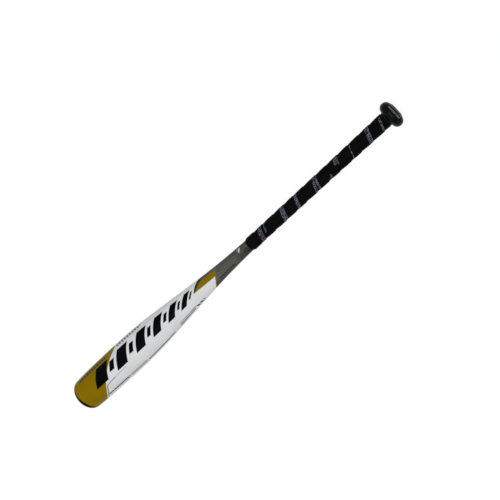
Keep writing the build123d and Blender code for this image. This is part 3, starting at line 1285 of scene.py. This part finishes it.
@dataclass(frozen=True)
class PlainFinish:
    """A one-material piece: a mottled colour, roughness and grain, each at its own scale."""

    name: str
    dark: Colour
    light: Colour
    rough: float
    mottle: float
    grain: float
    depth: float
    metallic: float = 0.0
    coat: float = 0.0
    shine: float = 0.5

    def make(self) -> bpy.types.Material:
        """Builds the material."""
        surface = Surface(
            self.name, Metallic=self.metallic, Coat_Weight=self.coat, Specular_IOR_Level=self.shine
        )
        mottled = surface.noise(self.mottle)
        surface.colour(blended(mottled.ramp(0.3, 0.7), self.dark, self.light))
        surface.roughness(mottled.ramp(0.3, 0.7, self.rough - 0.06, self.rough + 0.06))
        surface.relief(surface.cells(self.grain), self.depth, 0.5)
        return surface.material


@dataclass(frozen=True)
class LabelFilm:
    """A grey round label with a pale slanted stripe across it and a darker ring."""

    def make(self) -> bpy.types.Material:
        """Builds the material."""
        surface = Surface("label_film", Coat_Weight=0.5, Coat_Roughness=0.1)
        low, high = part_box("handle_label")
        middle = (low + high) / 2
        x, y, z = parts_of(surface.place)
        facing = math.atan2(middle.y, middle.z)
        along = (x - middle.x) * 1000.0
        aside = (y * math.cos(facing) - z * math.sin(facing)) * 1000.0
        far = (along * along + aside * aside).worked("SQRT")
        ring = 0.28 - (far - 3.6).size()
        mottled = surface.noise(240.0)
        bright = 1.4 - (along + 2.0 - aside * 0.75).size()
        film = blended(mottled.ramp(0.3, 0.7), paint(74, 74, 72), paint(96, 96, 94))
        film = blended(bright.ramp(-0.5, 0.5), film, paint(214, 212, 216))
        surface.colour(blended(ring.ramp(-0.08, 0.08), film, paint(60, 62, 62)))
        surface.roughness(mottled.ramp(0.3, 0.7, 0.2, 0.32))
        surface.relief(mottled, 0.02 * MM, 0.3)
        return surface.material


@dataclass(frozen=True)
class BadgeFinish:
    """Gloss badge with plain raised rings."""

    def make(self) -> bpy.types.Material:
        """Builds the material."""
        surface = Surface("badge_gloss", Coat_Weight=0.6, Coat_Roughness=0.08)
        _, y, z = parts_of(surface.place)
        far = (y * y + z * z).worked("SQRT") * 1000.0
        rings = (0.3 - (far - 6.6).size()).greater(0.22 - (far - 3.2).size())
        worn = surface.noise(300.0)
        base = blended(worn.ramp(0.3, 0.7), paint(18, 18, 20), paint(26, 26, 28))
        surface.colour(blended(rings.ramp(-0.06, 0.06), base, paint(140, 142, 146)))
        surface.roughness(worn.ramp(0.3, 0.7, 0.22, 0.34))
        surface.relief(rings.ramp(-0.2, 0.2), 0.1 * MM, 0.5)
        return surface.material


# ---------------------------------------------------------------------- studio
@dataclass(frozen=True)
class Viewpoint:
    """The camera: above the knob's end, tipped towards the barrel and rolled."""

    height: float = 1.4 * 0.7874
    tip: float = 17.08
    swing: float = 0.339
    roll: float = 42.636
    lens: float = 47.707

    def make(self) -> bpy.types.Object:
        """Builds the camera and makes it the scene's own."""
        data = bpy.data.cameras.new("camera")
        data.sensor_width = 36.0
        data.lens = self.lens
        data.clip_start = 0.01
        data.clip_end = 50.0
        camera = bpy.data.objects.new("camera", data)
        bpy.context.scene.collection.objects.link(camera)
        tip, swing, roll = (math.radians(a) for a in (self.tip, self.swing, self.roll))
        ahead = Vector((math.sin(tip), 0.0, -math.cos(tip)))
        to_knob = Vector((-math.cos(tip), 0.0, -math.sin(tip)))
        across = Vector((0.0, 1.0, 0.0))
        aim = ahead * math.cos(swing) + across * math.sin(swing)
        aside = across * math.cos(swing) - ahead * math.sin(swing)
        right = to_knob * math.cos(roll) + aside * math.sin(roll)
        up = to_knob * math.sin(roll) - aside * math.cos(roll)
        turned = Matrix((right, up, -aim)).transposed().to_4x4()
        camera.matrix_world = Matrix.Translation((0.0, 0.0, self.height)) @ turned
        bpy.context.scene.camera = camera
        return camera


@dataclass(frozen=True)
class Studio:
    """Pale floor that touches knob and barrel, a soft lamp overhead, and an even pale surround."""

    tube: Tube
    knob: Knob
    floor_half: float = 4.0
    lamp_height: float = 1.7
    lamp_side: float = 1.6
    lamp_power: float = 20.0
    surround: float = 0.4
    paper: float = 0.78
    shown_paper: float = 0.14
    shown_glow: float = 0.9
    rest_gap: float = 0.1 * MM

    def floor(self) -> bpy.types.Object:
        """A plane under the two places that the bat rests on."""
        knob_x = self.knob.rim_centre[0]
        barrel_x = (self.tube.bends[3].corner + self.tube.bends[4].corner) / 2
        gap = self.rest_gap
        slope = (self.tube.barrel_radius - self.knob.radius) / (barrel_x - knob_x)
        mesh = bpy.data.meshes.new("floor")
        half = self.floor_half
        corners = [
            (x, y, -self.knob.radius - gap - slope * (x - knob_x))
            for x, y in ((-half, -half), (half, -half), (half, half), (-half, half))
        ]
        mesh.from_pydata(corners, [], [(0, 1, 2, 3)])
        floor = bpy.data.objects.new("floor", mesh)
        bpy.context.scene.collection.objects.link(floor)
        mesh.materials.append(self.floor_material())
        return floor

    @staticmethod
    def seen_directly(tree: bpy.types.NodeTree) -> Term:
        """1 on rays from the camera, or reflected or passed on by the object."""
        path = tree.nodes.new("ShaderNodeLightPath")
        names = ("Is Camera Ray", "Is Glossy Ray", "Is Transmission Ray")
        return most([Term(path.outputs[name]) for name in names])

    def floor_material(self) -> bpy.types.Material:
        """White where it is seen, with a soft shadow, and pale where it only gives light back."""
        material = bpy.data.materials.new("floor_paper")
        material.use_nodes = True
        tree = material.node_tree
        tree.nodes.clear()
        plain = tree.nodes.new("ShaderNodeBsdfDiffuse")
        plain.inputs["Color"].default_value = (self.paper, self.paper, self.paper, 1.0)
        faint = tree.nodes.new("ShaderNodeBsdfDiffuse")
        faint.inputs["Color"].default_value = (self.shown_paper, self.shown_paper, self.shown_paper, 1.0)
        glow = tree.nodes.new("ShaderNodeEmission")
        glow.inputs["Strength"].default_value = self.shown_glow
        shown = tree.nodes.new("ShaderNodeAddShader")
        feed(shown.inputs[0], faint.outputs[0])
        feed(shown.inputs[1], glow.outputs[0])
        choice = tree.nodes.new("ShaderNodeMixShader")
        feed(choice.inputs[0], self.seen_directly(tree))
        feed(choice.inputs[1], plain.outputs[0])
        feed(choice.inputs[2], shown.outputs[0])
        leave = tree.nodes.new("ShaderNodeOutputMaterial")
        feed(leave.inputs["Surface"], choice.outputs[0])
        return material

    def lights(self) -> None:
        """The lamp and the world."""
        lamp = bpy.data.lights.new("overhead", "AREA")
        lamp.shape = "SQUARE"
        lamp.size = self.lamp_side
        lamp.energy = self.lamp_power
        holder = bpy.data.objects.new("overhead", lamp)
        holder.location = (self.tube.length * 0.55, 0.1, self.lamp_height)
        holder.visible_camera = False
        bpy.context.scene.collection.objects.link(holder)
        world = bpy.data.worlds.new("surround")
        bpy.context.scene.world = world
        world.use_nodes = True
        tree = world.node_tree
        sky = tree.nodes["Background"]
        sky.inputs["Color"].default_value = (1.0, 1.0, 1.0, 1.0)
        feed(sky.inputs["Strength"], self.seen_directly(tree).ramp(0.0, 1.0, self.surround, 1.0))
        bpy.context.scene.view_settings.view_transform = "Standard"


# ---------------------------------------------------------------------- the whole bat
@dataclass(frozen=True)
class Bat:
    """All pieces of the bat, built in order from the knob and the tube to what is wrapped round them."""

    tube: Tube
    knob: Knob

    def turned_pieces(self) -> None:
        """Shell, cap, knob and badge."""
        tube, knob = self.tube, self.knob
        shell = lathe("painted_shell", tube.outline(), 288)
        shell.data.materials.append(ShellPaint().make())
        mount_piece(shell, "painted_shell", "barrel_shell")
        cap = lathe("barrel_cap", EndCap(tube).outline(), 288, looped=False)
        cap.data.materials.append(CapPlastic().make())
        mount_piece(cap, "cap_plastic", "end_cap")
        end_knob = lathe("turned_knob", knob.outline(), 192)
        end_knob.data.materials.append(KnobPaint().make())
        mount_piece(end_knob, "knob_paint", "knob")
        badge = lathe("round_badge", self.badge_outline(), 128, looped=False)
        badge.data.materials.append(BadgeFinish().make())
        mount_piece(badge, "badge_plastic", "knob_badge")

    @staticmethod
    def badge_outline(soft: float = 0.2 * MM) -> list[Point]:
        """Section of the badge, with a softened edge."""
        low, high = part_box("knob_badge")
        return [
            (low.x, 0.0),
            *arc((low.x + soft, high.z - soft), soft, 180, 90, 4),
            (high.x, high.z),
            (high.x, 0.0),
        ]

    def wound_pieces(self) -> None:
        """Weld bead, grip winding and finishing tape."""
        weld_paint = PlainFinish(
            "weld_paint", paint(8, 8, 9), paint(14, 14, 15), 0.4, 180, 900, 0.05 * MM, shine=0.05
        )
        vinyl = PlainFinish(
            "tape_vinyl", paint(5, 5, 5), paint(10, 10, 10), 0.5, 260, 700, 0.05 * MM, shine=0.02
        )
        mount_piece(Weld(self.tube, self.knob).make(weld_paint.make()), "weld_metal", "knob_weld")
        mount_piece(Winding(self.tube).make(GripLeather().make()), "grip_leather", "grip_tape")
        mount_piece(FinishingTape(self.tube).make(vinyl.make()), "finishing_tape", "grip_finishing_tape")

    def label(self) -> None:
        """The round label."""
        piece = placed("round_label", Label(self.tube).mesh())
        piece.data.materials.append(LabelFilm().make())
        mount_piece(piece, "label_film", "handle_label")

    def kept_nodes(self) -> None:
        """Dresses the hidden CAD nodes that stay as they are."""
        finishes = {
            "end_cap_bond": PlainFinish(
                "bond_resin", paint(196, 188, 162), paint(214, 206, 182), 0.35, 150, 400, 0.05 * MM, coat=0.3
            ),
            "knob_plug": PlainFinish(
                "plug_rubber", paint(24, 24, 24), paint(36, 36, 36), 0.75, 200, 900, 0.06 * MM
            ),
            "handle_damper": PlainFinish(
                "damper_foam", paint(214, 200, 160), paint(232, 220, 186), 0.95, 120, 800, 0.4 * MM
            ),
            "grip_underlay": PlainFinish(
                "underlay_cloth", paint(40, 40, 42), paint(60, 60, 62), 0.9, 300, 1500, 0.1 * MM
            ),
        }
        for name, finish in finishes.items():
            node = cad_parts[name]
            node.data.materials.clear()
            node.data.materials.append(finish.make())
            log.info("%s: CAD node kept, finish %s", name, finish.name)


def main() -> None:
    """Builds camera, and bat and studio."""
    Viewpoint().make()
    tube, knob = Tube(), Knob()
    bat = Bat(tube, knob)
    bat.turned_pieces()
    bat.wound_pieces()
    bat.label()
    bat.kept_nodes()
    studio = Studio(tube, knob)
    studio.floor()
    studio.lights()


if __name__ == "__main__":
    main()
